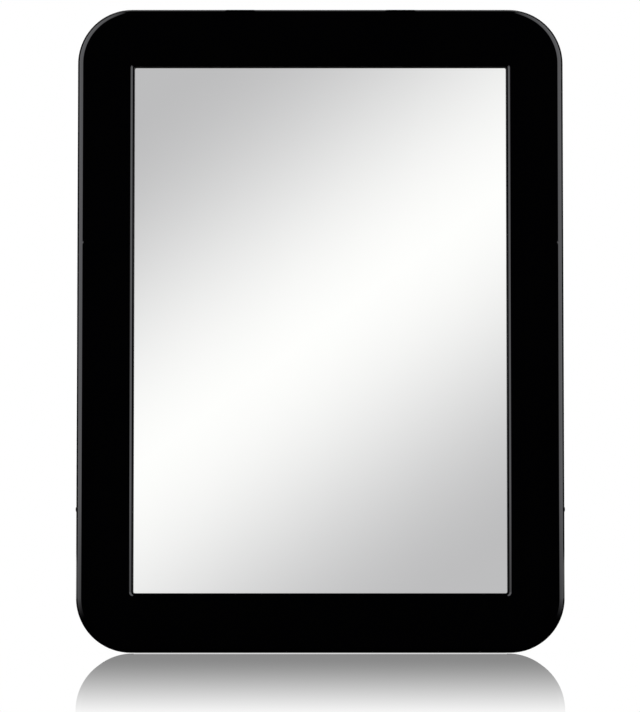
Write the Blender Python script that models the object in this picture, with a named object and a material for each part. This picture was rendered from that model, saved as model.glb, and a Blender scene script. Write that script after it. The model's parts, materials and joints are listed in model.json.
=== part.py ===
"""A magnetic locker mirror: a moulded frame, a mirror pane, and a back cover with four magnets.

Metres, +Z up. The mirror faces -Y. The origin is the centre of the flat back face, which lies on
the steel door: the cover, the magnets and the frame's rim all end on that plane, y = 0.
"""

import math

import bmesh
import bpy
from mathutils import Matrix, Vector

# Clearances and overruns
seat_gap = 0.0003
root_depth = 0.0006
cut_overrun = 0.002

# Mirror pane
glass_width = 0.127
glass_height = 0.1778
glass_thickness = 0.003
glass_corner_radius = 0.001
glass_arris = 0.0004

# Front frame: outline, window and lip
lip_overlap = 0.002
side_border = 0.01875
end_border = 0.0193
frame_corner_radius = 0.018
frame_wall = 0.0022
front_wall = 0.0022
front_radius = 0.002
rear_radius = 0.0006
lip_radius = 0.0015
window_corner_radius = 0.0005

# Front frame: rib that locates the glass, and stiffening ribs beside the catches
locator_gap = 0.0005
locator_thickness = 0.0015
locator_corner_radius = 0.0015
rib_thickness = 0.0012
rib_clearance = 0.0016

# Front frame: moulding marks that show from the front
land_height = 0.00012
land_ramp = 0.0007
land_root = 0.001
land_setback = 0.0007
land_rear_margin = 0.004
gate_width = 0.0018
gate_height = 0.00035
gate_length = 0.0016
gate_setback = 0.0035

# Backing board and foam strips
board_thickness = 0.001
board_margin = 0.0005
board_corner_radius = 0.003
foam_thickness = 0.0015
foam_width = 0.010
foam_edge_radius = 0.0003
foam_side_inset = 0.0085
foam_end_margin = 0.010

# Magnets and the adhesive pads under them
magnet_length = 0.025
magnet_height = 0.010
magnet_thickness = 0.003
magnet_edge_radius = 0.0004
magnet_side_inset = 0.0165
magnet_end_inset = 0.0109
tape_thickness = 0.0005
tape_margin = 0.0005
tape_corner_radius = 0.001

# Back cover
cover_thickness = 0.002
cover_edge_chamfer = 0.0003
pocket_wall = 0.0012
pocket_floor = 0.001
pocket_clearance = 0.0006
rail_width = 0.0012
rail_inset = 0.0012

# Snap hooks of the cover, and where they sit
hook_arm_thickness = 0.0012
hook_arm_gap = 0.0004
hook_arm_length = 0.005
hook_bite = 0.0008
hook_nose_height = 0.0022
hook_lead_in = 0.0014
end_hook_width = 0.0092
end_hook_offset = 0.0265
side_hook_width = 0.006
upper_hook_height = 0.0296
lower_hook_height = -0.0592

# Screws, their cups in the cover and their bosses in the frame
screw_head_radius = 0.0025
screw_head_height = 0.0016
screw_head_crown = 0.0006
screw_head_sink = 0.0001
screw_length = 0.0065
screw_tip_length = 0.0013
screw_tip_radius = 0.0002
thread_crest_radius = 0.0013
thread_root_radius = 0.00095
thread_pitch = 0.0009
thread_flank_share = 0.25
recess_length = 0.0028
recess_width = 0.0007
recess_depth = 0.001
cup_wall = 0.0012
cup_floor = 0.002
boss_wall = 0.0016
boss_offset = 0.0022
pilot_bottom_gap = 0.0005

# Fineness of the round shapes
corner_segments = 12
front_radius_segments = 6
lip_segments = 5
rear_radius_segments = 2
gate_segments = 8
boss_segments = 32
screw_segments = 16
screw_crown_segments = 3
edge_bevel_segments = 2
smooth_angle = math.radians(35)
quarter_turn = math.radians(90)
half_turn = 2 * quarter_turn
full_turn = 2 * half_turn

# Sizes that follow from those above
window_width = glass_width - 2 * lip_overlap
window_height = glass_height - 2 * lip_overlap
frame_width = window_width + 2 * side_border
frame_height = window_height + 2 * end_border
pocket_reach = magnet_thickness + seat_gap + tape_thickness + seat_gap + pocket_floor
board_space = pocket_reach + pocket_clearance
frame_depth = front_wall + glass_thickness + board_thickness + 2 * seat_gap + board_space

# Planes across the depth, from the front face back to the door
front_y = -frame_depth
plate_back_y = front_y + front_wall
glass_front_y = plate_back_y + seat_gap
glass_back_y = glass_front_y + glass_thickness
board_front_y = glass_back_y + seat_gap
board_back_y = board_front_y + board_thickness
foam_front_y = board_back_y + seat_gap
foam_back_y = foam_front_y + foam_thickness
rail_tip_y = foam_back_y + seat_gap
cover_front_y = -cover_thickness
door_y = 0.0

# Places of the repeated pieces, as distances from the centre
magnet_x = glass_width / 2 - magnet_side_inset
magnet_z = glass_height / 2 - magnet_end_inset
boss_x = glass_width / 2 + locator_gap + locator_thickness + boss_offset
boss_z = glass_height / 2 + locator_gap + locator_thickness + boss_offset
head_back_y = -screw_head_sink
head_front_y = head_back_y - screw_head_height
screw_tip_y = head_front_y - screw_length
cup_seat_y = head_front_y - seat_gap
cup_front_y = cup_seat_y - cup_floor
boss_top_y = cup_front_y - seat_gap
corners = {
    "upper_left": (-1, 1),
    "upper_right": (1, 1),
    "lower_left": (-1, -1),
    "lower_right": (1, -1),
}

# Each edge of the frame: the way out of it, the way along it, and its distance from the centre
edges = {
    "top": (Vector((0, 0, 1)), Vector((1, 0, 0)), frame_height / 2),
    "bottom": (Vector((0, 0, -1)), Vector((1, 0, 0)), frame_height / 2),
    "left": (Vector((-1, 0, 0)), Vector((0, 0, 1)), frame_width / 2),
    "right": (Vector((1, 0, 0)), Vector((0, 0, 1)), frame_width / 2),
}


def hook_places():
    """The edge, the place along it and the width of each snap hook."""
    places = []
    for edge in ("top", "bottom"):
        for side in (-1, 1):
            places.append((edge, side * end_hook_offset, end_hook_width))
    for edge in ("left", "right"):
        for height in (upper_hook_height, lower_hook_height):
            places.append((edge, height, side_hook_width))
    return places


def clear_scene():
    for obj in list(bpy.data.objects):
        bpy.data.objects.remove(obj, do_unlink=True)


def make_material(name, colour, roughness, metallic=0.0):
    material = bpy.data.materials.new(name)
    material.use_nodes = True
    shader = material.node_tree.nodes["Principled BSDF"]
    shader.inputs["Base Color"].default_value = (*colour, 1.0)
    shader.inputs["Roughness"].default_value = roughness
    shader.inputs["Metallic"].default_value = metallic
    return material


def finish_mesh(bm, name):
    """The mesh of a closed body, with its faces turned outward and its round faces smooth."""
    bmesh.ops.recalc_face_normals(bm, faces=bm.faces)
    mesh = bpy.data.meshes.new(name)
    bm.to_mesh(mesh)
    bm.free()
    mesh.shade_smooth()
    mesh.set_sharp_from_angle(angle=smooth_angle)
    return mesh


def place(name, mesh, material, location=(0, 0, 0)):
    """Puts one named piece into the scene."""
    obj = bpy.data.objects.new(name, mesh)
    if not mesh.materials:
        mesh.materials.append(material)
    obj.location = location
    bpy.context.scene.collection.objects.link(obj)
    return obj


def shape(target, mesh, operation):
    """Adds a helper body to a piece, or cuts it out, with an exact Boolean."""
    helper = bpy.data.objects.new(f"{mesh.name}_helper", mesh)
    helper.hide_render = True
    helper.display_type = "WIRE"
    bpy.context.scene.collection.objects.link(helper)
    modifier = target.modifiers.new(mesh.name, "BOOLEAN")
    modifier.operation = operation
    modifier.solver = "EXACT"
    modifier.object = helper


def settle(obj):
    """Turns a piece and its Booleans into one plain mesh, and removes the helper bodies."""
    graph = bpy.context.evaluated_depsgraph_get()
    mesh = bpy.data.meshes.new_from_object(obj.evaluated_get(graph))
    for modifier in list(obj.modifiers):
        helper = modifier.object
        obj.modifiers.remove(modifier)
        bpy.data.objects.remove(helper, do_unlink=True)
    obj.data = mesh
    mesh.shade_smooth()
    mesh.set_sharp_from_angle(angle=smooth_angle)


def round_edges(obj, radius):
    """Rounds every edge of a plain block."""
    bevel = obj.modifiers.new("edges", "BEVEL")
    bevel.width = radius
    bevel.segments = edge_bevel_segments
    bevel.limit_method = "NONE"


def rounded_outline(width, height, radius, depth):
    """Points of a rounded rectangle in the plane y = depth, the corners as arcs."""
    points = []
    centre_x = width / 2 - radius
    centre_z = height / 2 - radius
    for corner, (side_x, side_z) in enumerate(((1, 1), (-1, 1), (-1, -1), (1, -1))):
        for step in range(corner_segments + 1):
            angle = quarter_turn * (corner + step / corner_segments)
            x = side_x * centre_x + radius * math.cos(angle)
            z = side_z * centre_z + radius * math.sin(angle)
            points.append(Vector((x, depth, z)))
    return points


def inset_outline(inset, depth):
    """The frame's outline, moved inward by inset."""
    width = frame_width - 2 * inset
    height = frame_height - 2 * inset
    return rounded_outline(width, height, frame_corner_radius - inset, depth)


def window_outline(outset, depth):
    """The window's outline, moved outward by outset."""
    width = window_width + 2 * outset
    height = window_height + 2 * outset
    return rounded_outline(width, height, window_corner_radius + outset, depth)


def skin(name, outlines, ring):
    """A body through the outlines in turn: a ring that closes on itself, or a plate with two caps."""
    bm = bmesh.new()
    loops = [[bm.verts.new(point) for point in outline] for outline in outlines]
    pairs = list(zip(loops, loops[1:]))
    if ring:
        pairs.append((loops[-1], loops[0]))
    else:
        bm.faces.new(loops[0])
        bm.faces.new(loops[-1])
    for first, second in pairs:
        for index in range(len(first)):
            before = index - 1
            bm.faces.new((first[before], first[index], second[index], second[before]))
    return finish_mesh(bm, name)


def block(name, low, high):
    """A box between two corners."""
    bm = bmesh.new()
    bmesh.ops.create_cube(bm, size=1.0)
    size = Vector(high) - Vector(low)
    middle = (Vector(high) + Vector(low)) / 2
    bmesh.ops.transform(bm, verts=bm.verts, matrix=Matrix.Diagonal(size).to_4x4())
    bmesh.ops.translate(bm, verts=bm.verts, vec=middle)
    return finish_mesh(bm, name)


def extrude_outline(name, points, travel):
    """A prism from a flat outline, moved along travel."""
    bm = bmesh.new()
    face = bm.faces.new([bm.verts.new(point) for point in points])
    extruded = bmesh.ops.extrude_face_region(bm, geom=[face])
    moved = [item for item in extruded["geom"] if isinstance(item, bmesh.types.BMVert)]
    bmesh.ops.translate(bm, verts=moved, vec=travel)
    return finish_mesh(bm, name)


def edge_prism(name, edge, section, middle, width):
    """A prism that runs along an edge. The section's points are (distance from the centre, y)."""
    outward, along, _ = edges[edge]
    start = along * (middle - width / 2)
    points = [start + outward * distance + Vector((0, y, 0)) for distance, y in section]
    return extrude_outline(name, points, along * width)


def turned(name, profile, x, z, segments):
    """A solid turned about an axis along Y through x, z. The profile's points are (radius, y)."""
    bm = bmesh.new()
    rings = []
    for radius, y in profile:
        ring = []
        for step in range(segments):
            angle = full_turn * step / segments
            point = Vector((x + radius * math.cos(angle), y, z + radius * math.sin(angle)))
            ring.append(bm.verts.new(point))
        rings.append(ring)
    bm.faces.new(rings[0])
    bm.faces.new(rings[-1])
    for first, second in zip(rings, rings[1:]):
        for index in range(segments):
            before = index - 1
            bm.faces.new((first[before], first[index], second[index], second[before]))
    return finish_mesh(bm, name)


def quarter_steps(segments):
    """Sine and cosine pairs round a quarter turn."""
    angles = [quarter_turn * step / segments for step in range(segments + 1)]
    return [(math.sin(angle), math.cos(angle)) for angle in angles]


def frame_shell_outlines():
    """The frame's section, carried round: rim, side, front edge, face, lip, and back inside."""
    outlines = []
    for sine, cosine in quarter_steps(rear_radius_segments):
        outlines.append(inset_outline(rear_radius * (1 - sine), -rear_radius * (1 - cosine)))
    for sine, cosine in quarter_steps(front_radius_segments):
        inset = front_radius * (1 - cosine)
        outlines.append(inset_outline(inset, front_y + front_radius * (1 - sine)))
    for sine, cosine in quarter_steps(lip_segments):
        outlines.append(window_outline(lip_radius * (1 - sine), front_y + lip_radius * (1 - cosine)))
    outlines.append(window_outline(0, plate_back_y))
    outlines.append(inset_outline(frame_wall, plate_back_y))
    outlines.append(inset_outline(frame_wall, door_y))
    return outlines


def locator_ring():
    """The rib on the front plate's back that keeps the glass and the board in place."""
    outlines = []
    root_y = plate_back_y - root_depth
    tip_y = (board_front_y + board_back_y) / 2
    for outset, depth in (
        (0, root_y),
        (0, tip_y),
        (locator_thickness, tip_y),
        (locator_thickness, root_y),
    ):
        width = glass_width + 2 * (locator_gap + outset)
        height = glass_height + 2 * (locator_gap + outset)
        outlines.append(rounded_outline(width, height, locator_corner_radius + outset, depth))
    return skin("locator", outlines, ring=True)


def add_frame_ribs(frame):
    """Two ribs beside each catch, from the locating rib to the wall. The cover rests on them."""
    for number, (edge, middle, width) in enumerate(hook_places()):
        half_glass = glass_height / 2 if edge in ("top", "bottom") else glass_width / 2
        inner = half_glass + locator_gap + locator_thickness / 2
        outer = edges[edge][2] - frame_wall + root_depth
        low = plate_back_y - root_depth
        high = cover_front_y - seat_gap
        section = ((inner, low), (outer, low), (outer, high), (inner, high))
        shift = width / 2 + rib_clearance + rib_thickness / 2
        for side in (-1, 1):
            rib = edge_prism(f"rib_{number}", edge, section, middle + side * shift, rib_thickness)
            shape(frame, rib, "UNION")


def add_frame_bosses(frame):
    """Screw bosses in the four corners, with blind pilot holes."""
    pilot_radius = thread_crest_radius + seat_gap
    boss_radius = pilot_radius + boss_wall
    for corner, (side_x, side_z) in corners.items():
        x = side_x * boss_x
        z = side_z * boss_z
        boss_profile = ((boss_radius, boss_top_y), (boss_radius, plate_back_y - root_depth))
        shape(frame, turned(f"boss_{corner}", boss_profile, x, z, boss_segments), "UNION")
        pilot_profile = (
            (pilot_radius, boss_top_y + cut_overrun),
            (pilot_radius, screw_tip_y - pilot_bottom_gap),
        )
        shape(frame, turned(f"pilot_{corner}", pilot_profile, x, z, boss_segments), "DIFFERENCE")


def cut_frame_catches(frame):
    """Recesses in the walls, which the noses of the snap hooks drop into."""
    tip_y = cover_front_y - hook_arm_length
    for number, (edge, middle, width) in enumerate(hook_places()):
        wall_inside = edges[edge][2] - frame_wall
        inner = wall_inside - hook_bite
        outer = wall_inside + hook_bite + seat_gap
        low = tip_y - seat_gap
        high = tip_y + hook_nose_height + seat_gap
        section = ((inner, low), (outer, low), (outer, high), (inner, high))
        catch = edge_prism(f"catch_{number}", edge, section, middle, width + 2 * seat_gap)
        shape(frame, catch, "DIFFERENCE")


def add_frame_lands(frame):
    """Two flat lands on the top edge, over the catches, which break the line of the rounding."""
    base = frame_height / 2 - land_root
    crest = frame_height / 2 + land_height
    start_y = front_y + land_setback
    travel = Vector((0, frame_depth - land_setback - land_rear_margin, 0))
    for side in (-1, 1):
        middle = side * end_hook_offset
        wide = end_hook_width / 2 + land_ramp
        narrow = end_hook_width / 2
        corners_of_land = ((-wide, base), (wide, base), (narrow, crest), (-narrow, crest))
        points = [Vector((middle + x, start_y, z)) for x, z in corners_of_land]
        shape(frame, extrude_outline(f"land_{side}", points, travel), "UNION")


def add_frame_gates(frame):
    """The small half-round stubs that the moulding gates leave on the two sides."""
    for side in (-1, 1):
        points = []
        for step in range(gate_segments + 1):
            angle = half_turn * step / gate_segments
            x = frame_width / 2 + gate_height * math.sin(angle)
            z = lower_hook_height + gate_width / 2 * math.cos(angle)
            points.append(Vector((side * x, front_y + gate_setback, z)))
        root_x = side * (frame_width / 2 - root_depth)
        for z in (lower_hook_height - gate_width / 2, lower_hook_height + gate_width / 2):
            points.append(Vector((root_x, front_y + gate_setback, z)))
        stub = extrude_outline(f"gate_{side}", points, Vector((0, gate_length, 0)))
        shape(frame, stub, "UNION")


def make_front_frame():
    black = make_material("gloss_black_plastic", colour=(0.006, 0.006, 0.007), roughness=0.08)
    frame = place("front_frame", skin("front_frame", frame_shell_outlines(), ring=True), black)
    shape(frame, locator_ring(), "UNION")
    add_frame_ribs(frame)
    add_frame_bosses(frame)
    cut_frame_catches(frame)
    add_frame_lands(frame)
    add_frame_gates(frame)
    settle(frame)


def make_mirror_glass():
    """The pane, with its edges lightly ground off."""
    silver = make_material("silvered_glass", colour=(0.86, 0.88, 0.88), roughness=0.02, metallic=1.0)
    outlines = []
    for inset, depth in (
        (glass_arris, glass_front_y),
        (0, glass_front_y + glass_arris),
        (0, glass_back_y - glass_arris),
        (glass_arris, glass_back_y),
    ):
        width = glass_width - 2 * inset
        height = glass_height - 2 * inset
        outlines.append(rounded_outline(width, height, glass_corner_radius - inset, depth))
    place("mirror_glass", skin("mirror_glass", outlines, ring=False), silver)


def make_backing_board():
    grey = make_material("grey_board", colour=(0.36, 0.34, 0.31), roughness=0.9)
    width = glass_width - 2 * board_margin
    height = glass_height - 2 * board_margin
    depths = (board_front_y, board_back_y)
    outlines = [rounded_outline(width, height, board_corner_radius, depth) for depth in depths]
    place("backing_board", skin("backing_board", outlines, ring=False), grey)


def pocket_half_length():
    return magnet_length / 2 + seat_gap + pocket_wall


def pocket_half_height():
    return magnet_height / 2 + seat_gap + pocket_wall


def foam_places():
    """Name, centre and size of each foam strip: the strips fill the space between the pockets."""
    side_length = 2 * (magnet_z - pocket_half_height() - foam_end_margin)
    end_length = 2 * (magnet_x - pocket_half_length() - foam_end_margin)
    side_x = glass_width / 2 - foam_side_inset
    return (
        ("foam_strip_left", -side_x, 0, foam_width, side_length),
        ("foam_strip_right", side_x, 0, foam_width, side_length),
        ("foam_strip_top", 0, magnet_z, end_length, foam_width),
        ("foam_strip_bottom", 0, -magnet_z, end_length, foam_width),
    )


def make_foam_strips():
    foam = make_material("black_foam", colour=(0.03, 0.03, 0.032), roughness=0.95)
    middle_y = (foam_front_y + foam_back_y) / 2
    for name, x, z, width, height in foam_places():
        half = Vector((width, foam_thickness, height)) / 2
        strip = place(name, block(name, -half, half), foam, (x, middle_y, z))
        round_edges(strip, foam_edge_radius)


def add_cover_rails(cover):
    """Two thin rails under each foam strip."""
    for name, x, z, width, height in foam_places():
        low_y = rail_tip_y
        high_y = cover_front_y + root_depth
        upright = height > width
        shift = foam_width / 2 - rail_inset - rail_width / 2
        for side in (-1, 1):
            rail_x = x + side * shift if upright else x
            rail_z = z if upright else z + side * shift
            half_x = rail_width / 2 if upright else width / 2
            half_z = height / 2 if upright else rail_width / 2
            low = (rail_x - half_x, low_y, rail_z - half_z)
            high = (rail_x + half_x, high_y, rail_z + half_z)
            shape(cover, block(f"{name}_rail", low, high), "UNION")


def add_cover_pockets(cover):
    """A walled pocket for each magnet, open on the door side."""
    floor_y = pocket_floor - pocket_reach
    for corner, (side_x, side_z) in corners.items():
        x = side_x * magnet_x
        z = side_z * magnet_z
        outer = Vector((pocket_half_length(), 0, pocket_half_height()))
        inner = outer - Vector((pocket_wall, 0, pocket_wall))
        centre = Vector((x, 0, z))
        shell_low = centre - outer + Vector((0, -pocket_reach, 0))
        shell_high = centre + outer + Vector((0, cover_front_y + root_depth, 0))
        hole_low = centre - inner + Vector((0, floor_y, 0))
        hole_high = centre + inner + Vector((0, cut_overrun, 0))
        shape(cover, block(f"pocket_shell_{corner}", shell_low, shell_high), "UNION")
        shape(cover, block(f"pocket_{corner}", hole_low, hole_high), "DIFFERENCE")


def add_cover_cups(cover):
    """A cup for each screw head, with a clearance hole for its shank."""
    head_hole_radius = screw_head_radius + seat_gap
    cup_radius = head_hole_radius + cup_wall
    shank_hole_radius = thread_crest_radius + seat_gap
    for corner, (side_x, side_z) in corners.items():
        x = side_x * boss_x
        z = side_z * boss_z
        cup = ((cup_radius, cover_front_y + root_depth), (cup_radius, cup_front_y))
        shape(cover, turned(f"cup_{corner}", cup, x, z, boss_segments), "UNION")
        hole = (
            (head_hole_radius, cut_overrun),
            (head_hole_radius, cup_seat_y),
            (shank_hole_radius, cup_seat_y),
            (shank_hole_radius, cup_front_y - cut_overrun),
        )
        shape(cover, turned(f"screw_hole_{corner}", hole, x, z, boss_segments), "DIFFERENCE")


def add_cover_hooks(cover):
    """Snap hooks: an arm beside the frame's wall, and a nose that points into the wall's catch."""
    tip_y = cover_front_y - hook_arm_length
    for number, (edge, middle, width) in enumerate(hook_places()):
        wall_inside = edges[edge][2] - frame_wall
        arm_outside = wall_inside - hook_arm_gap
        arm_inside = arm_outside - hook_arm_thickness
        nose = wall_inside + hook_bite
        nose_tip = tip_y + hook_lead_in
        nose_top = tip_y + hook_nose_height
        section = (
            (arm_inside, cover_front_y + root_depth),
            (arm_inside, tip_y),
            (arm_outside, tip_y),
            (nose, nose_tip),
            (nose, nose_top),
            (arm_outside, nose_top),
            (arm_outside, cover_front_y + root_depth),
        )
        shape(cover, edge_prism(f"hook_{number}", edge, section, middle, width), "UNION")


def make_back_cover():
    matt = make_material("matt_black_plastic", colour=(0.018, 0.018, 0.019), roughness=0.55)
    edge = frame_wall + seat_gap
    outlines = (
        inset_outline(edge, cover_front_y),
        inset_outline(edge, door_y - cover_edge_chamfer),
        inset_outline(edge + cover_edge_chamfer, door_y),
    )
    cover = place("back_cover", skin("back_cover", outlines, ring=False), matt)
    add_cover_pockets(cover)
    add_cover_cups(cover)
    add_cover_rails(cover)
    add_cover_hooks(cover)
    settle(cover)


def make_magnets():
    nickel = make_material("nickel_plate", colour=(0.62, 0.61, 0.58), roughness=0.25, metallic=1.0)
    half = Vector((magnet_length, magnet_thickness, magnet_height)) / 2
    mesh = block("magnet", -half, half)
    for corner, (side_x, side_z) in corners.items():
        location = (side_x * magnet_x, door_y - magnet_thickness / 2, side_z * magnet_z)
        magnet = place(f"magnet_{corner}", mesh, nickel, location)
        round_edges(magnet, magnet_edge_radius)


def make_magnet_tapes():
    adhesive = make_material("adhesive_pad", colour=(0.72, 0.7, 0.64), roughness=0.6)
    width = magnet_length - 2 * tape_margin
    height = magnet_height - 2 * tape_margin
    depths = (-tape_thickness / 2, tape_thickness / 2)
    outlines = [rounded_outline(width, height, tape_corner_radius, depth) for depth in depths]
    mesh = skin("magnet_tape", outlines, ring=False)
    middle_y = -(magnet_thickness + seat_gap + tape_thickness / 2)
    for corner, (side_x, side_z) in corners.items():
        location = (side_x * magnet_x, middle_y, side_z * magnet_z)
        place(f"magnet_tape_{corner}", mesh, adhesive, location)


def screw_profile():
    """Half section of a pan head screw from the crown down to the tip, the head resting at y = 0."""
    crown_start = screw_head_height - screw_head_crown
    crown_radius = screw_head_radius - screw_head_crown
    profile = []
    for sine, cosine in quarter_steps(screw_crown_segments):
        profile.append((crown_radius + screw_head_crown * sine, crown_start + screw_head_crown * cosine))
    profile.append((screw_head_radius, 0))
    profile.append((thread_root_radius, 0))
    turns = int((screw_length - screw_tip_length) / thread_pitch)
    for turn in range(turns):
        start = -turn * thread_pitch
        flank = thread_pitch * thread_flank_share
        profile.append((thread_root_radius, start - thread_pitch / 2 + flank))
        profile.append((thread_crest_radius, start - thread_pitch / 2))
        profile.append((thread_root_radius, start - thread_pitch / 2 - flank))
    profile.append((thread_root_radius, screw_tip_length - screw_length))
    profile.append((screw_tip_radius, -screw_length))
    return profile


def make_screws():
    """Four screws that share one mesh, with a cross recess in the head."""
    zinc = make_material("zinc_plate", colour=(0.55, 0.55, 0.57), roughness=0.3, metallic=1.0)
    pattern = place("screw_pattern", turned("screw", screw_profile(), 0, 0, screw_segments), zinc)
    floor = Vector((0, screw_head_height - recess_depth, 0))
    above = Vector((0, screw_head_height + cut_overrun, 0))
    for name, arm in (
        ("upright", Vector((recess_width, 0, recess_length)) / 2),
        ("level", Vector((recess_length, 0, recess_width)) / 2),
    ):
        shape(pattern, block(f"recess_{name}", floor - arm, above + arm), "DIFFERENCE")
    settle(pattern)
    for corner, (side_x, side_z) in corners.items():
        location = (side_x * boss_x, head_front_y, side_z * boss_z)
        place(f"screw_{corner}", pattern.data, zinc, location)
    bpy.data.objects.remove(pattern, do_unlink=True)


clear_scene()
make_front_frame()
make_mirror_glass()
make_backing_board()
make_foam_strips()
make_back_cover()
make_magnets()
make_magnet_tapes()
make_screws()
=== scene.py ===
"""The looks of a magnetic locker mirror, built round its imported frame.

Metres, +Z up. The mirror faces -Y, its back lies on the plane y = 0, and it stands on its lower edge.
"""

import json
import math

import bmesh
import bpy
from mathutils import Matrix, Vector

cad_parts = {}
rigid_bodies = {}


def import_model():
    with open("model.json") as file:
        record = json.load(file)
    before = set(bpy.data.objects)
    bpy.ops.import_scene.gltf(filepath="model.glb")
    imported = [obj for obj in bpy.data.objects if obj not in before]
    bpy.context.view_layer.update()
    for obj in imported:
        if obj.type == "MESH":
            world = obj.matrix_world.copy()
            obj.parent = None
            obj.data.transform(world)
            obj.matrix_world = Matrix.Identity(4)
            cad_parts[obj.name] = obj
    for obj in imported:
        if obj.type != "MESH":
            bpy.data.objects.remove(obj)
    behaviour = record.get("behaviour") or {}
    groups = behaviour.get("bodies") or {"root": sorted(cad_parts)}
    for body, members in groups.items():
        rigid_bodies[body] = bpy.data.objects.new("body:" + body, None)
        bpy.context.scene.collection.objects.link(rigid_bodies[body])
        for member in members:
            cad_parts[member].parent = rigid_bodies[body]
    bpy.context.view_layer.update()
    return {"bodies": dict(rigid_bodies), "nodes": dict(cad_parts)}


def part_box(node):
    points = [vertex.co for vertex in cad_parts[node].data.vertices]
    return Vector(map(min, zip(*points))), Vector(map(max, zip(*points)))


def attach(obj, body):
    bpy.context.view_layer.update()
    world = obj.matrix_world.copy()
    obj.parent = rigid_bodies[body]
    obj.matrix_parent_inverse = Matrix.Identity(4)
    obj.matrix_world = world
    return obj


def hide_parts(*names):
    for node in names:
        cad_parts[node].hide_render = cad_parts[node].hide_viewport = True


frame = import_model()
body = next(iter(frame["bodies"]))

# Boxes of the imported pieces
frame_low, frame_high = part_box("front_frame")
glass_low, glass_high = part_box("mirror_glass")
board_low, board_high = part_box("backing_board")
cover_edge_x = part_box("back_cover")[1].x
pad_front_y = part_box("magnet_tape_upper_left")[0].y
screw_crown_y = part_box("screw_upper_left")[1].y

# Front frame: marks that stand proud of the outline, and the outline inside them
gate_height = 0.00035
gate_width = 0.0018
gate_length = 0.0016
gate_setback = 0.0035
land_height = 0.00002
land_width = 0.0092
land_ramp = 0.0007
land_root = 0.001
land_setback = 0.0018
land_rear_margin = 0.004
facet_tilt = math.radians(37)
facet_depth = 0.0017
facet_cut = 0.0012
half_width = frame_high.x - gate_height
half_height = -frame_low.z
front_y = frame_low.y
door_y = frame_high.y

# Front frame: section
corner_radius = 0.018
front_radius = 0.002
rear_radius = 0.0006
rim_break = 0.00015
lip_overlap = 0.002
lip_radius = 0.0012
lip_sweep = math.radians(45)
ledge_width = 0.00055
ledge_depth = 0.0009
ledge_break = 0.00006
window_corner_radius = 0.0005
window_rise = 0.00015
frame_wall = 0.0022
front_wall = 0.0022
support_gap = 0.0001
seam_reach = 0.00001
window_half_width = glass_high.x - lip_overlap
window_half_height = glass_high.z - lip_overlap
plate_back_y = front_y + front_wall

# Front frame: what is inside
seat_gap = 0.0003
root_depth = 0.0006
cut_overrun = 0.002
locator_gap = 0.0005
locator_thickness = 0.0015
locator_corner_radius = 0.0015
rib_thickness = 0.0012
rib_clearance = 0.0016
boss_wall = 0.0016
pilot_bottom_gap = 0.0005

# Front frame: the shallow sink marks that show in the side highlights
sink_inset = 0.00175
sink_height = 0.0288
sink_depth = 0.00007
sink_spread = 0.00035
sink_reach = 0.0018
sink_spacing = 0.00015

# Back cover
cover_thickness = 0.002
cover_edge_radius = 0.0003
pocket_wall = 0.0012
pocket_floor = 0.001
pocket_corner_radius = 0.0006
mouth_break = 0.00018
rail_width = 0.0012
rail_inset = 0.0012
cup_wall = 0.0012
cup_floor = 0.002
hook_arm_thickness = 0.0012
hook_arm_gap = 0.0004
hook_arm_length = 0.005
hook_bite = 0.0008
hook_nose_height = 0.0022
hook_lead_in = 0.0014
end_hook_width = 0.0092
end_hook_offset = 0.0265
side_hook_width = 0.006
upper_hook_height = 0.0296
lower_hook_height = -0.0592
cover_front_y = door_y - cover_thickness
pocket_floor_y = pad_front_y - seat_gap

# Magnets and their adhesive pads
magnet_edge_radius = 0.0004
tape_corner_radius = 0.001
tape_bulge = 0.00012

# Foam strips. Near an end the section shrinks: its share, and how many edge radii from the end
foam_edge_radius = 0.0003
foam_bulge = 0.00035
foam_groove = 0.00012
foam_end_shares = ((0.90, 0), (0.98, 1), (1.0, 3))

# Screws
screw_head_radius = 0.0025
screw_head_height = 0.0016
screw_head_crown = 0.0007
screw_head_break = 0.00015
screw_length = 0.0065
screw_tip_length = 0.0013
screw_tip_radius = 0.0002
thread_crest_radius = 0.0013
thread_root_radius = 0.00095
thread_pitch = 0.0009
thread_flank_share = 0.28
shank_overlap = 0.0003
recess_length = 0.0028
recess_width = 0.00075
recess_depth = 0.001
recess_taper_share = 0.55
recess_tip_share = 0.12
recess_tip_depth = 0.00035
screw_seat_y = screw_crown_y - screw_head_height
hole_floor_y = screw_seat_y - seat_gap
head_hole_radius = screw_head_radius + seat_gap
shank_hole_radius = thread_crest_radius + seat_gap
screw_turns = {"upper_left": 17, "upper_right": 52, "lower_left": 71, "lower_right": 33}

# Mirror pane
glass_corner_radius = 0.001
glass_arris = 0.0004

# Fineness
corner_segments = 28
front_segments = 16
face_rings = 8
lip_segments = 12
rear_segments = 4
gate_segments = 12
magnet_edge_segments = 5
tape_segments = 6
foam_side_segments = 8
foam_back_segments = 40
head_segments = 8
round_segments = 48
thread_segments = 36
thread_steps = 12
smooth_angle = math.radians(32)
quarter_turn = math.radians(90)
half_turn = math.radians(180)
full_turn = math.radians(360)

x_axis = Vector((1, 0, 0))
y_axis = Vector((0, 1, 0))
z_axis = Vector((0, 0, 1))
corners = ("upper_left", "upper_right", "lower_left", "lower_right")

# Each edge of the frame: the way out of it, the way along it, and its distance from the centre
edges = {
    "left": (-x_axis, z_axis, half_width),
    "right": (x_axis, z_axis, half_width),
    "top": (z_axis, x_axis, half_height),
    "bottom": (-z_axis, x_axis, half_height),
}

# Each snap hook: its edge, its place along the edge, and its width
hooks = []
for edge in ("top", "bottom"):
    hooks.append((edge, -end_hook_offset, end_hook_width))
    hooks.append((edge, end_hook_offset, end_hook_width))
for edge in ("left", "right"):
    hooks.append((edge, upper_hook_height, side_hook_width))
    hooks.append((edge, lower_hook_height, side_hook_width))

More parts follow.
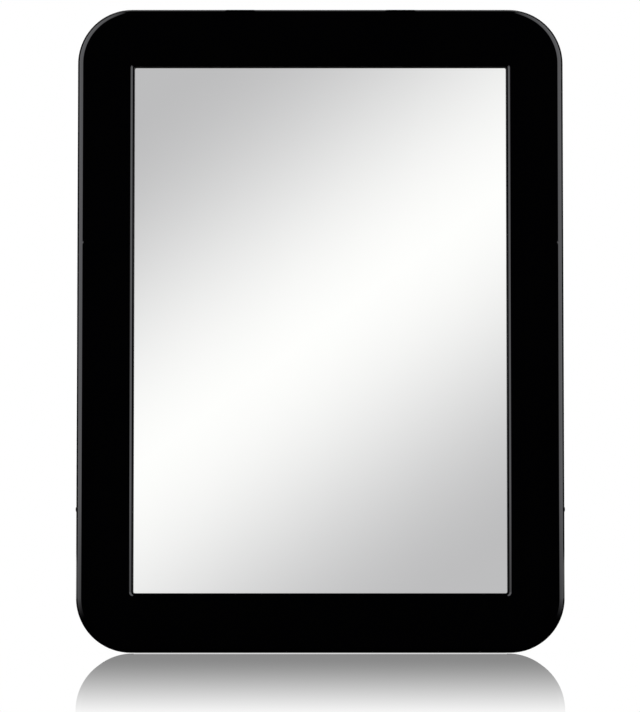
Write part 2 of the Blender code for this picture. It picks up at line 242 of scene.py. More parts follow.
# Heights of extra points on the frame's sides, close together round the sink marks
sink_steps = range(round(2 * sink_reach / sink_spacing) + 1)
side_stations = [sink_height + (step * sink_spacing - sink_reach) for step in sink_steps]


# Meshes


def finish_mesh(bm, name):
    """The mesh of a closed body, with its faces turned outward and its round faces smooth."""
    bmesh.ops.recalc_face_normals(bm, faces=bm.faces)
    mesh = bpy.data.meshes.new(name)
    bm.to_mesh(mesh)
    bm.free()
    mesh.shade_smooth()
    mesh.set_sharp_from_angle(angle=smooth_angle)
    return mesh


def rounded_loop(half_x, half_z, radius, depth, stations):
    """Points of a rounded rectangle in the plane y = depth, with extra points along its sides."""
    points = []
    centre_x = half_x - radius
    centre_z = half_z - radius
    for corner, (side_x, side_z) in enumerate(((1, 1), (-1, 1), (-1, -1), (1, -1))):
        for step in range(corner_segments + 1):
            angle = quarter_turn * (corner + step / corner_segments)
            x = side_x * centre_x + radius * math.cos(angle)
            z = side_z * centre_z + radius * math.sin(angle)
            points.append(Vector((x, depth, z)))
        if corner == 1:
            points += [Vector((-half_x, depth, z)) for z in reversed(stations)]
        if corner == 3:
            points += [Vector((half_x, depth, z)) for z in stations]
    return points


def rounded_loops(half_x, half_z, radius, section, stations=()):
    """The loops of a rounded rectangle, one for each (outset, y) of a section."""
    loops = []
    for outset, y in section:
        sizes = (half_x + outset, half_z + outset, radius + outset)
        loops.append(rounded_loop(*sizes, y, stations))
    return loops


def skin(bm, outlines, ring=False, bands=None):
    """Faces through the outlines: a ring that closes on itself, or a plate with two caps."""
    bands = bands or [0] * (len(outlines) + 1)
    loops = [[bm.verts.new(point) for point in outline] for outline in outlines]
    pairs = list(zip(loops, loops[1:]))
    if ring:
        pairs.append((loops[-1], loops[0]))
    else:
        bm.faces.new(loops[0]).material_index = bands[0]
        bm.faces.new(loops[-1]).material_index = bands[-1]
    for band, (first, second) in zip(bands[1:], pairs):
        for index in range(len(first)):
            before = index - 1
            face = bm.faces.new((first[before], first[index], second[index], second[before]))
            face.material_index = band


def add_block(bm, low, high):
    """A box between two corners."""
    made = bmesh.ops.create_cube(bm, size=1.0)
    matrix = Matrix.Translation((low + high) / 2) @ Matrix.Diagonal(high - low).to_4x4()
    bmesh.ops.transform(bm, verts=made["verts"], matrix=matrix)


def add_prism(bm, points, travel):
    """A prism from a flat outline, moved along travel."""
    skin(bm, (points, [point + travel for point in points]))


def add_edge_prism(bm, edge, section, middle, width):
    """A prism that runs along an edge. The section's points are (distance from the centre, y)."""
    outward, along, _ = edges[edge]
    start = along * (middle - width / 2)
    points = [start + outward * distance + y_axis * y for distance, y in section]
    add_prism(bm, points, along * width)


def rectangle(low_a, high_a, low_b, high_b):
    """The corners of a rectangle in order, as pairs of an a and a b."""
    return ((low_a, low_b), (high_a, low_b), (high_a, high_b), (low_a, high_b))


def arc(turn, segments):
    """Sine and cosine pairs from nothing to a turn."""
    angles = [turn * step / segments for step in range(segments + 1)]
    return [(math.sin(angle), math.cos(angle)) for angle in angles]


def circle_loop(radius, y, x, z, segments):
    around = arc(full_turn, segments)[:-1]
    return [Vector((x + radius * cosine, y, z + radius * sine)) for sine, cosine in around]


def add_turned(bm, profile, x=0.0, z=0.0):
    """A solid turned about an axis along Y through x, z. The profile's points are (radius, y)."""
    skin(bm, [circle_loop(radius, y, x, z, round_segments) for radius, y in profile])


def middle_and_half(node):
    """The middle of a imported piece's box, and half its size."""
    low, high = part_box(node)
    return (low + high) / 2, (high - low) / 2


def add_at_screws(bm, profile):
    for corner in corners:
        low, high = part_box(f"screw_{corner}")
        add_turned(bm, profile, (low.x + high.x) / 2, (low.z + high.z) / 2)


def new_piece(name, shape, location=(0, 0, 0)):
    """An object in the scene, from a mesh or from a bmesh that is still to be finished."""
    mesh = finish_mesh(shape, name) if isinstance(shape, bmesh.types.BMesh) else shape
    piece = bpy.data.objects.new(name, mesh)
    piece.location = location
    bpy.context.scene.collection.objects.link(piece)
    return piece


def skinned_piece(name, outlines, location=(0, 0, 0), **settings):
    """An object whose faces run through the outlines."""
    bm = bmesh.new()
    skin(bm, outlines, **settings)
    return new_piece(name, bm, location)


def combine(target, operation, *adders):
    """Adds what the adders build to a piece, or cuts it out, and leaves one plain mesh."""
    bm = bmesh.new()
    for add in adders:
        add(bm)
    helper = new_piece("helper", bm)
    modifier = target.modifiers.new("boolean", "BOOLEAN")
    modifier.operation = operation
    modifier.solver = "EXACT"
    modifier.object = helper
    graph = bpy.context.evaluated_depsgraph_get()
    mesh = bpy.data.meshes.new_from_object(target.evaluated_get(graph))
    target.modifiers.remove(modifier)
    bpy.data.objects.remove(helper, do_unlink=True)
    target.data = mesh
    mesh.shade_smooth()
    mesh.set_sharp_from_angle(angle=smooth_angle)


def dress(piece, slot, *materials, node=None):
    """Gives a piece its materials, and lets it stand for a node. The slot is not used."""
    held = piece.data.materials
    for index, material in enumerate(materials):
        if index < len(held):
            held[index] = material
        else:
            held.append(material)
    if node:
        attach(piece, body)
        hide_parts(node)


def even_shading(piece):
    """Keeps the shading of flat faces flat where they meet small round ones."""
    modifier = piece.modifiers.new("even_shading", "WEIGHTED_NORMAL")
    modifier.mode = "FACE_AREA"
    modifier.keep_sharp = True


# The front frame


def outer_loops(section, stations=side_stations):
    """The frame's outline at each (outset, y) of a section."""
    return rounded_loops(half_width, half_height, corner_radius, section, stations)


def sink(point):
    """Lowers a point of the front where a sink mark is."""
    centre_x = math.copysign(half_width - sink_inset, point.x)
    away = (point.x - centre_x) ** 2 + (point.z - sink_height) ** 2
    lowered = sink_depth * math.exp(-away / (2 * sink_spread**2))
    return point + y_axis * lowered


def frame_shell():
    """The frame's section, carried round: rim, side, front edge, face, lip, and back inside."""
    rim = [(-rear_radius - support_gap, door_y)]
    for sine, cosine in arc(quarter_turn, rear_segments):
        rim.append((rear_radius * (sine - 1), door_y - rear_radius * (1 - cosine)))
    rim.append((0, door_y - rear_radius - support_gap))
    front = [(0, front_y + front_radius + support_gap)]
    for sine, cosine in arc(quarter_turn, front_segments):
        front.append((front_radius * (cosine - 1), front_y + front_radius * (1 - sine)))
    for ring in range(1, face_rings + 1):
        front.append((-front_radius - ring * 2 * sink_spacing, front_y))
    inside = [(-frame_wall, plate_back_y), (-frame_wall, door_y - rim_break)]
    inside.append((rim_break - frame_wall, door_y))
    marked = [[sink(point) for point in loop] for loop in outer_loops(front)]
    return outer_loops(rim) + marked + lip_loops() + outer_loops(inside)


def lip_loops():
    """The lip: a rounding that stops at a small ledge, and the edge below it."""
    start = ledge_width + lip_radius * math.sin(lip_sweep)
    ledge_y = front_y + ledge_depth
    section = [(start + support_gap, front_y)]
    for sine, cosine in arc(lip_sweep, lip_segments):
        section.append((start - lip_radius * sine, front_y + lip_radius * (1 - cosine)))
    section += [(ledge_width, ledge_y), (ledge_break, ledge_y)]
    section += [(0, ledge_y + ledge_break), (0, plate_back_y)]
    sizes = (window_half_width, window_half_height, window_corner_radius)
    loops = rounded_loops(*sizes, section, side_stations)
    return [[point + z_axis * window_rise for point in loop] for loop in loops]


def add_locator(bm):
    """The rib on the front plate's back that keeps the glass and the board in place."""
    tip_y = (board_low.y + board_high.y) / 2
    corners_of_rib = rectangle(plate_back_y - root_depth, tip_y, 0, locator_thickness)
    section = [(outset, y) for y, outset in corners_of_rib]
    half_x = glass_high.x + locator_gap
    half_z = glass_high.z + locator_gap
    skin(bm, rounded_loops(half_x, half_z, locator_corner_radius, section), ring=True)


def add_ribs(bm):
    """Two ribs beside each catch, from the locating rib to the wall."""
    low = plate_back_y - root_depth
    high = cover_front_y - seat_gap
    for edge, middle, width in hooks:
        half_glass = glass_high.z if edge in ("top", "bottom") else glass_high.x
        inner = half_glass + locator_gap + locator_thickness / 2
        section = rectangle(inner, edges[edge][2] - frame_wall + root_depth, low, high)
        shift = width / 2 + rib_clearance + rib_thickness / 2
        for side in (-1, 1):
            add_edge_prism(bm, edge, section, middle + side * shift, rib_thickness)


def add_bosses(bm):
    radius = shank_hole_radius + boss_wall
    top_y = hole_floor_y - cup_floor - seat_gap
    add_at_screws(bm, ((radius, top_y), (radius, plate_back_y - root_depth)))


def add_pilots(bm):
    bottom_y = screw_seat_y - screw_length - pilot_bottom_gap
    add_at_screws(bm, ((shank_hole_radius, cover_front_y), (shank_hole_radius, bottom_y)))


def add_catches(bm):
    """Recesses in the walls, which the noses of the snap hooks drop into."""
    tip_y = cover_front_y - hook_arm_length
    for edge, middle, width in hooks:
        wall = edges[edge][2] - frame_wall
        outer = wall + hook_bite + seat_gap
        high = tip_y + hook_nose_height + seat_gap
        section = rectangle(wall - hook_bite, outer, tip_y - seat_gap, high)
        add_edge_prism(bm, edge, section, middle, width + 2 * seat_gap)


def add_lands(bm):
    """Two flat lands on the top edge, over the catches, which break the line of the rounding."""
    base = half_height - land_root
    crest = half_height + land_height
    start_y = front_y + land_setback
    travel = y_axis * (door_y - front_y - land_setback - land_rear_margin)
    wide = land_width / 2 + land_ramp
    narrow = land_width / 2
    for side in (-1, 1):
        middle = side * end_hook_offset
        section = ((-wide, base), (wide, base), (narrow, crest), (-narrow, crest))
        add_prism(bm, [Vector((middle + x, start_y, z)) for x, z in section], travel)


def add_facets(bm):
    """Flat facets that carry the lands forward over the rounding of the front edge."""
    outward = Vector((0, -math.cos(facet_tilt), math.sin(facet_tilt)))
    along = Vector((0, math.sin(facet_tilt), math.cos(facet_tilt)))
    length = facet_depth / math.sin(facet_tilt)
    wide = x_axis * (land_width / 2 + land_ramp)
    narrow = x_axis * (land_width / 2)
    for side in (-1, 1):
        top = Vector((side * end_hook_offset, front_y + facet_depth, half_height))
        ends = (top + along * facet_cut, top - along * (length + facet_cut))
        loops = []
        for half, height in ((narrow, 0), (wide, facet_cut)):
            first, last = [end + outward * height for end in ends]
            loops.append((first - half, first + half, last + half, last - half))
        skin(bm, loops)


def add_gates(bm):
    """The small half-round stubs that the moulding gates leave on the two sides."""
    y = front_y + gate_setback
    for side in (-1, 1):
        points = []
        for sine, cosine in arc(half_turn, gate_segments):
            x = half_width + gate_height * sine
            z = lower_hook_height + gate_width / 2 * cosine
            points.append(Vector((side * x, y, z)))
        root_x = side * (half_width - root_depth)
        for end in (-1, 1):
            points.append(Vector((root_x, y, lower_hook_height + end * gate_width / 2)))
        add_prism(bm, points, y_axis * gate_length)


def dull_window_wall(piece):
    """Gives the window's wall below the ledge the piece's second material."""
    reach_x = window_half_width + seam_reach
    reach_z = window_half_height + seam_reach
    for face in piece.data.polygons:
        x, y, z = face.center
        inside = abs(x) < reach_x and abs(z - window_rise) < reach_z
        if inside and y > front_y + ledge_depth:
            face.material_index = 1


def make_frame(plastic, drawn_plastic):
    piece = skinned_piece("frame_moulding", frame_shell(), ring=True)
    for operation, add in (
        ("UNION", add_locator),
        ("UNION", add_ribs),
        ("UNION", add_bosses),
        ("DIFFERENCE", add_pilots),
        ("DIFFERENCE", add_catches),
        ("UNION", add_lands),
        ("DIFFERENCE", add_facets),
        ("UNION", add_gates),
    ):
        combine(piece, operation, add)
    even_shading(piece)
    dress(piece, "frame_plastic", plastic, drawn_plastic, node="front_frame")
    dull_window_wall(piece)
    return piece


# The mirror pane


def make_pane(silver, ground_edge, paint):
    """The pane: a silvered face, ground edges with an arris, and the painted back."""
    section = [(-glass_arris, glass_low.y), (0, glass_low.y + glass_arris)]
    section += [(0, glass_high.y - glass_arris), (-glass_arris, glass_high.y)]
    loops = rounded_loops(glass_high.x, glass_high.z, glass_corner_radius, section)
    piece = skinned_piece("silvered_pane", loops, bands=(0, 1, 1, 1, 2))
    dress(piece, "mirror", silver, ground_edge, paint, node="mirror_glass")
    return piece


# Foam strips


def foam_section(half_across, half_thick):
    """A pressed strip's section, as (across, y): its sides bulge, and two rails dent its back."""
    flat = half_across - foam_bulge
    rail = half_across - rail_inset - rail_width / 2
    rounding = []
    for sine, cosine in arc(half_turn, foam_side_segments):
        rounding.append((flat + foam_bulge * sine, -half_thick * cosine))
    back = []
    for step in range(1, foam_back_segments):
        u = flat - 2 * flat * step / foam_back_segments
        dent = sum(math.exp(-(((u - side * rail) / rail_width) ** 2)) for side in (-1, 1))
        back.append((u, half_thick - foam_groove * dent))
    return rounding + back + [(-u, y) for u, y in reversed(rounding)]


def make_foam_strip(side, foam):
    node = f"foam_strip_{side}"
    location, half = middle_and_half(node)
    across, along = (z_axis, x_axis) if half.x > half.z else (x_axis, z_axis)
    section = foam_section(half.dot(across), half.y)
    ends = [(share, half.dot(along) - radii * foam_edge_radius) for share, radii in foam_end_shares]
    outlines = []
    for share, place in [(share, -place) for share, place in ends] + ends[::-1]:
        end = along * place
        outlines.append([across * (u * share) + y_axis * (y * share) + end for u, y in section])
    piece = skinned_piece(f"pressed_foam_{side}", outlines, location)
    dress(piece, "foam", foam, node=node)


# The back cover


def cover_section():
    """The cover's edge, as (outset from the frame's outline, y)."""
    edge = half_width - cover_edge_x
    section = [(-edge, cover_front_y)]
    for sine, cosine in arc(quarter_turn, rear_segments):
        outset = -edge - cover_edge_radius * (1 - cosine)
        section.append((outset, door_y - cover_edge_radius * (1 - sine)))
    return section + [(-edge - cover_edge_radius - support_gap, door_y)]


def mouth_profile(floor_y):
    """How far a pocket or a screw hole opens, as (outset, y), from above the door to its floor."""
    return (
        (mouth_break + cut_overrun, door_y + cut_overrun),
        (mouth_break, door_y),
        (mouth_break / 3, door_y - mouth_break / 3),
        (0, door_y - mouth_break),
        (0, floor_y),
    )


def pocket(corner):
    """Half the width and height of a magnet's pocket, and its centre on the door plane."""
    middle, half = middle_and_half(f"magnet_{corner}")
    return half.x + seat_gap, half.z + seat_gap, Vector((middle.x, 0, middle.z))


def add_pocket_shells(bm):
    for corner in corners:
        half_x, half_z, centre = pocket(corner)
        outer = Vector((half_x + pocket_wall, 0, half_z + pocket_wall))
        low = centre - outer + y_axis * (pocket_floor_y - pocket_floor)
        high = centre + outer + y_axis * (cover_front_y + root_depth)
        add_block(bm, low, high)


def add_pocket_holes(bm):
    for corner in corners:
        half_x, half_z, centre = pocket(corner)
        section = mouth_profile(pocket_floor_y)
        loops = rounded_loops(half_x, half_z, pocket_corner_radius, section)
        skin(bm, [[point + centre for point in loop] for loop in loops])


def add_cups(bm):
    radius = head_hole_radius + cup_wall
    bottom_y = hole_floor_y - cup_floor
    add_at_screws(bm, ((radius, cover_front_y + root_depth), (radius, bottom_y)))


def add_screw_holes(bm):
    profile = [(head_hole_radius + outset, y) for outset, y in mouth_profile(hole_floor_y)]
    profile.append((shank_hole_radius, hole_floor_y))
    profile.append((shank_hole_radius, hole_floor_y - cup_floor - cut_overrun))
    add_at_screws(bm, profile)


def add_rails(bm):
    """Two thin rails under each foam strip."""
    for side in edges:
        low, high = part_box(f"foam_strip_{side}")
        axis = 0 if high.z - low.z > high.x - low.x else 2
        for place in (low[axis] + rail_inset, high[axis] - rail_inset - rail_width):
            start = Vector((low.x, high.y + seat_gap, low.z))
            end = Vector((high.x, cover_front_y + root_depth, high.z))
            start[axis] = place
            end[axis] = place + rail_width
            add_block(bm, start, end)


def add_hooks(bm):
    """Snap hooks: an arm beside the frame's wall, and a nose that points into the wall's catch."""
    tip_y = cover_front_y - hook_arm_length
    root_y = cover_front_y + root_depth
    for edge, middle, width in hooks:
        wall = edges[edge][2] - frame_wall
        arm_outside = wall - hook_arm_gap
        arm_inside = arm_outside - hook_arm_thickness
        nose = wall + hook_bite
        section = (
            (arm_inside, root_y),
            (arm_inside, tip_y),
            (arm_outside, tip_y),
            (nose, tip_y + hook_lead_in),
            (nose, tip_y + hook_nose_height),
            (arm_outside, tip_y + hook_nose_height),
            (arm_outside, root_y),
        )
        add_edge_prism(bm, edge, section, middle, width)


def make_cover(plastic):
    piece = skinned_piece("cover_moulding", outer_loops(cover_section(), stations=()))
    combine(piece, "UNION", add_pocket_shells, add_cups, add_rails, add_hooks)
    combine(piece, "DIFFERENCE", add_pocket_holes, add_screw_holes)
    even_shading(piece)
    dress(piece, "cover_plastic", plastic, node="back_cover")
    return piece


# Magnets, adhesive pads and screws


def make_magnet(corner, nickel):
    location, half = middle_and_half(f"magnet_{corner}")
    bm = bmesh.new()
    add_block(bm, -half, half)
    bmesh.ops.bevel(
        bm,
        geom=list(bm.edges) + list(bm.verts),
        offset=magnet_edge_radius,
        segments=magnet_edge_segments,
        profile=0.5,
        affect="EDGES",
    )
    piece = new_piece(f"block_magnet_{corner}", bm, location)
    even_shading(piece)
    dress(piece, "magnet", nickel, node=f"magnet_{corner}")
    return piece


def make_pad(corner, adhesive):
    """An adhesive pad, pressed so that its sides stand out a little."""
    location, half = middle_and_half(f"magnet_tape_{corner}")
    bulge = arc(half_turn, tape_segments)
    section = [(tape_bulge * (sine - 1), -half.y * cosine) for sine, cosine in bulge]
    loops = rounded_loops(half.x, half.z, tape_corner_radius, section)
    piece = skinned_piece(f"adhesive_pad_{corner}", loops, location)
    dress(piece, "tape", adhesive, node=f"magnet_tape_{corner}")


def head_profile():
    """Half section of a pan head, from the middle of its crown to its seat at y = 0."""
    side_y = screw_head_height - screw_head_crown
    flat_radius = screw_head_radius - screw_head_crown
    profile = []
    for sine, cosine in arc(quarter_turn, head_segments):
        profile.append((flat_radius + screw_head_crown * sine, side_y + screw_head_crown * cosine))
    profile.append((screw_head_radius, screw_head_break))
    profile.append((screw_head_radius - screw_head_break, 0))
    return profile


def thread_loop(y, share):
    """One ring of points round the thread: the crest climbs one pitch in a turn."""
    points = []
    for step in range(thread_segments):
        turn = step / thread_segments
        phase = (y / thread_pitch + turn) % 1.0
        crest = max(0.0, 1 - abs(phase - 0.5) / thread_flank_share)
        radius = thread_root_radius + (thread_crest_radius - thread_root_radius) * crest
        radius = screw_tip_radius + (radius - screw_tip_radius) * share
        angle = full_turn * turn
        points.append(Vector((radius * math.cos(angle), y, radius * math.sin(angle))))
    return points


def add_shank(bm):
    """The threaded shank from just inside the head down to the point."""
    step_length = thread_pitch / thread_steps
    outlines = [circle_loop(thread_root_radius, shank_overlap, 0, 0, thread_segments)]
    for step in range(1, round(screw_length / step_length) + 1):
        y = -step * step_length
        share = min(1.0, max(0.0, (screw_length + y) / screw_tip_length))
        outlines.append(thread_loop(y, share))
    skin(bm, outlines)


def cross_loop(share, y):
    """A cross in the plane y: the recess at a share of its length and width."""
    a = recess_width * share / 2
    b = recess_length * share / 2
    points = []
    for turn in range(4):
        matrix = Matrix.Rotation(-quarter_turn * turn, 3, "Y")
        points += [matrix @ Vector((x, y, z)) for x, z in ((b, -a), (b, a), (a, a))]
    return points


def add_recess(bm):
    """The driver's tapered cross recess, from above the head down to its tip."""
    floor_y = screw_head_height - recess_depth
    outlines = (
        cross_loop(2 - recess_taper_share, screw_head_height + recess_depth),
        cross_loop(recess_taper_share, floor_y),
        cross_loop(recess_tip_share, floor_y - recess_tip_depth),
    )
    skin(bm, outlines)


def make_screw_mesh():
    """A pan head screw with a helical thread and a cross recess."""
    bm = bmesh.new()
    add_turned(bm, head_profile())
    pattern = new_piece("screw_pattern", bm)
    combine(pattern, "UNION", add_shank)
    combine(pattern, "DIFFERENCE", add_recess)
    mesh = pattern.data
    bpy.data.objects.remove(pattern, do_unlink=True)
    return mesh


def make_screw(corner, pattern, zinc):
    location, _ = middle_and_half(f"screw_{corner}")
    location.y = screw_seat_y
    mesh = pattern.copy()
    mesh.transform(Matrix.Rotation(math.radians(screw_turns[corner]), 4, "Y"))
    piece = new_piece(f"pan_screw_{corner}", mesh, location)
    dress(piece, "screw", zinc, node=f"screw_{corner}")
    return piece


# Nodes


def add_node(tree, kind, settings=None, **inputs):
    """A node with its settings, and its inputs given as values or as sockets to link."""
    node = tree.nodes.new(kind)
    for name, value in (settings or {}).items():
        setattr(node, name, value)
    for name, value in inputs.items():
        key = int(name[1:]) if name[0] == "i" and name[1:].isdigit() else name.replace("_", " ")
        socket = node.inputs[key]
        if isinstance(value, bpy.types.NodeSocket):
            tree.links.new(value, socket)
        else:
            socket.default_value = value
    return node


def math_node(tree, operation, *values):
    inputs = {f"i{index}": value for index, value in enumerate(values)}
    return add_node(tree, "ShaderNodeMath", {"operation": operation}, **inputs).outputs[0]


def total(tree, first, *others):
    """The sum of several values."""
    for other in others:
        first = math_node(tree, "ADD", first, other)
    return first


def minus(tree, first, second):
    return math_node(tree, "SUBTRACT", first, second)


def times(tree, first, second):
    return math_node(tree, "MULTIPLY", first, second)


def square(tree, value):
    return times(tree, value, value)


def axes(tree, vector):
    """The X, Y and Z of a vector."""
    return add_node(tree, "ShaderNodeSeparateXYZ", Vector=vector).outputs


def geometry(tree, output):
    return tree.nodes.new("ShaderNodeNewGeometry").outputs[output]


def own_place(tree):
    """The piece's own coordinates in metres."""
    return tree.nodes.new("ShaderNodeTexCoord").outputs["Object"]


def noise(tree, grain, stretch=None, detail=3.0, roughness=0.5, distortion=0.0):
    """Noise whose lumps are about grain metres across. A stretch under 1 draws them out."""
    place = own_place(tree)
    if stretch:
        place = add_node(tree, "ShaderNodeMapping", Vector=place, Scale=stretch).outputs[0]
    shape = {"Detail": detail, "Roughness": roughness, "Distortion": distortion}
    node = add_node(tree, "ShaderNodeTexNoise", Vector=place, Scale=1 / grain, **shape)
    return node.outputs["Fac"]


def spread(tree, value, low, high, low_out, high_out):
    """A value from one range carried to another, and held inside it."""
    ends = {"From_Min": low, "From_Max": high, "To_Min": low_out, "To_Max": high_out}
    return add_node(tree, "ShaderNodeMapRange", Value=value, **ends).outputs[0]


def follow(tree, value, low_out, high_out):
    """Goes from one value to another with a noise, over the range that most of a noise is in."""
    return spread(tree, value, 0.3, 0.7, low_out, high_out)


def blend(tree, factor, first, second):
    """A colour between two."""
    ends = {"A": (*first, 1), "B": (*second, 1)}
    node = add_node(tree, "ShaderNodeMix", {"data_type": "RGBA"}, Factor=factor, **ends)
    return node.outputs["Result"]


# Materials


def surface(set_up):
    """A material, named after the function that sets up its nodes."""
    material = bpy.data.materials.new(set_up.__name__)
    material.use_nodes = True
    set_up(material.node_tree)
    return material


def set_shader(tree, colour, dull, relief, depth, **uniform):
    """Links a surface's colour, roughness and bump, and sets what is the same all over it."""
    shader = tree.nodes["Principled BSDF"]
    bump = add_node(tree, "ShaderNodeBump", Height=relief, Distance=depth, Strength=1.0)
    tree.links.new(colour, shader.inputs["Base Color"])
    tree.links.new(dull, shader.inputs["Roughness"])
    tree.links.new(bump.outputs[0], shader.inputs["Normal"])
    for name, value in uniform.items():
        shader.inputs[name.replace("_", " ")].default_value = value


def grained(tree, colours, fine, cloud=None, *, dull, depth, **uniform):
    """A dull surface. The fine noise sets its bump and roughness, and the cloud its colour."""
    relief = noise(tree, **fine)
    colour = blend(tree, noise(tree, **cloud) if cloud else relief, *colours)
    set_shader(tree, colour, follow(tree, relief, *dull), relief, depth, **uniform)


def edge_wear(tree, reach, grain):
    """How worn a place is: up to 1 along the edges, broken up in lumps of the given grain."""
    rounded = add_node(tree, "ShaderNodeBevel", {"samples": 4}, Radius=reach).outputs[0]
    sides = {"i0": rounded, "i1": geometry(tree, "Normal")}
    likeness = add_node(tree, "ShaderNodeVectorMath", {"operation": "DOT_PRODUCT"}, **sides)
    edge = spread(tree, likeness.outputs["Value"], 0.985, 0.85, 0.0, 1.0)
    lumps = spread(tree, noise(tree, grain, detail=4.0), 0.35, 0.6, 0.2, 1.0)
    return times(tree, edge, lumps)


def gloss_black_plastic(tree):
    """Polished black plastic: faint orange peel, hairlines, handling haze and dulled edges."""
    haze = noise(tree, 0.022, detail=4.0)
    hairlines = noise(tree, 0.0004, stretch=(1, 1, 0.02), detail=2.0)
    peel = noise(tree, 0.0045, detail=1.0)
    colour = blend(tree, haze, (0.0002, 0.0002, 0.0003), (0.0004, 0.0004, 0.0005))
    soft = spread(tree, haze, 0.35, 0.7, 0.035, 0.06)
    lines = spread(tree, hairlines, 0.68, 0.78, 0.0, 0.03)
    worn = spread(tree, edge_wear(tree, 0.0003, 0.003), 0.0, 1.0, 0.0, 0.08)
    set_shader(tree, colour, total(tree, soft, lines, worn), peel, 0.000004, IOR=1.5)


def drawn_black_plastic(tree):
    """The window's wall below the ledge: dull, with the fine lines that it left the mould with."""
    colours = ((0.0002, 0.0002, 0.0003), (0.0006, 0.0006, 0.0007))
    lines = {"grain": 0.0002, "stretch": (1, 0.05, 1)}
    grained(tree, colours, lines, dull=(0.55, 0.75), depth=0.000006, Specular_IOR_Level=0.04)


def silvered_glass(tree):
    """The mirror's face: silver with the faintest wiping marks, dust and waviness of float glass."""
    marks = noise(tree, 0.018, stretch=(1, 1, 0.35), detail=5.0, distortion=0.6)
    specks = noise(tree, 0.0009, detail=2.0)
    colour = blend(tree, marks, (0.892, 0.895, 0.895), (0.905, 0.908, 0.908))
    wiped = spread(tree, marks, 0.45, 0.75, 0.0, 0.012)
    dust = spread(tree, specks, 0.76, 0.82, 0.0, 0.02)
    set_shader(tree, colour, total(tree, wiped, dust), marks, 0.0000005, Metallic=1.0)


def ground_glass_edge(tree):
    """The pane's ground edge: green and frosted, with the grinder's fine lines."""
    colours = ((0.13, 0.27, 0.22), (0.32, 0.48, 0.42))
    lines = {"grain": 0.00012, "stretch": (0.06, 1, 0.06), "detail": 4.0}
    grained(tree, colours, lines, dull=(0.35, 0.6), depth=0.00002)


def mirror_back_paint(tree):
    """The grey paint that protects the silver from behind."""
    colours = ((0.16, 0.18, 0.17), (0.23, 0.25, 0.24))
    rolled = {"grain": 0.0016, "detail": 4.0}
    cloud = {"grain": 0.03, "detail": 2.0}
    grained(tree, colours, rolled, cloud, dull=(0.42, 0.6), depth=0.00003)


def grey_board(tree):
    """Recycled board: pressed fibres with darker and lighter flecks."""
    colours = ((0.24, 0.225, 0.2), (0.47, 0.45, 0.41))
    fibres = {"grain": 0.0007, "stretch": (1, 1, 0.3), "detail": 6.0, "roughness": 0.7}
    flecks = {"grain": 0.0022, "detail": 5.0, "roughness": 0.75}
    grained(tree, colours, fibres, flecks, dull=(0.8, 0.97), depth=0.00005)


def adhesive_pad(tree):
    """A cut pad of white acrylic foam adhesive."""
    colours = ((0.6, 0.58, 0.52), (0.78, 0.76, 0.7))
    cells = {"grain": 0.0003, "detail": 4.0}
    grained(tree, colours, cells, dull=(0.45, 0.7), depth=0.00003)


def black_foam(tree):
    """Closed-cell foam: small open cells on its cut faces."""
    cell_size = 0.00045
    voronoi = add_node(tree, "ShaderNodeTexVoronoi", Vector=own_place(tree), Scale=1 / cell_size)
    cells = voronoi.outputs["Distance"]
    colour = blend(tree, cells, (0.012, 0.012, 0.013), (0.05, 0.05, 0.053))
    set_shader(tree, colour, follow(tree, noise(tree, 0.006), 0.85, 1.0), cells, 0.00012)


def matt_black_plastic(tree):
    """Spark-eroded black plastic: a fine grain with a dull sheen, rubbed shinier along its edges."""
    grain = noise(tree, 0.00032, roughness=0.6)
    cloud = noise(tree, 0.035)
    rubbed = noise(tree, 0.0011, stretch=(0.1, 1, 1), detail=4.0)
    worn = edge_wear(tree, 0.0004, 0.0025)
    colour = blend(tree, total(tree, grain, worn), (0.010, 0.010, 0.0105), (0.022, 0.022, 0.023))
    base = follow(tree, cloud, 0.44, 0.56)
    shine = spread(tree, rubbed, 0.66, 0.8, 0.0, -0.12)
    polish = spread(tree, worn, 0.0, 1.0, 0.0, -0.2)
    set_shader(tree, colour, total(tree, base, shine, polish), grain, 0.00007)


def nickel_plate(tree):
    """Nickel on a slightly crowned block: fine grinding lines along it, and small dull knocks."""
    grain_height = 0.00001
    crown_curve = 1.6
    lines = noise(tree, 0.00022, stretch=(0.03, 1, 1), detail=4.0)
    knocks = noise(tree, 0.0016, detail=4.0, roughness=0.65)
    worn = edge_wear(tree, 0.0006, 0.0012)
    shade = minus(tree, lines, worn)
    colour = blend(tree, shade, (0.6, 0.585, 0.55), (0.76, 0.745, 0.71))
    fine = follow(tree, lines, 0.15, 0.25)
    dull = spread(tree, total(tree, knocks, worn), 0.62, 1.1, 0.0, 0.3)
    across = square(tree, axes(tree, own_place(tree))["X"])
    crown = times(tree, across, crown_curve / grain_height)
    relief = minus(tree, total(tree, lines, knocks), crown)
    set_shader(tree, colour, total(tree, fine, dull), relief, grain_height, Metallic=1.0)


def zinc_plate(tree):
    """Bright zinc: turning rings round the head and a mottled passivation."""
    ring_spacing = 0.00018
    parts = axes(tree, own_place(tree))
    squares = total(tree, square(tree, parts["X"]), square(tree, parts["Z"]))
    radius = math_node(tree, "SQRT", squares)
    rings = math_node(tree, "SINE", times(tree, radius, full_turn / ring_spacing))
    mottle = noise(tree, 0.0009, detail=4.0)
    shade = minus(tree, mottle, edge_wear(tree, 0.0002, 0.0006))
    colour = blend(tree, shade, (0.46, 0.47, 0.5), (0.66, 0.66, 0.68))
    set_shader(tree, colour, follow(tree, mottle, 0.2, 0.38), rings, 0.0000012, Metallic=1.0)


# The object

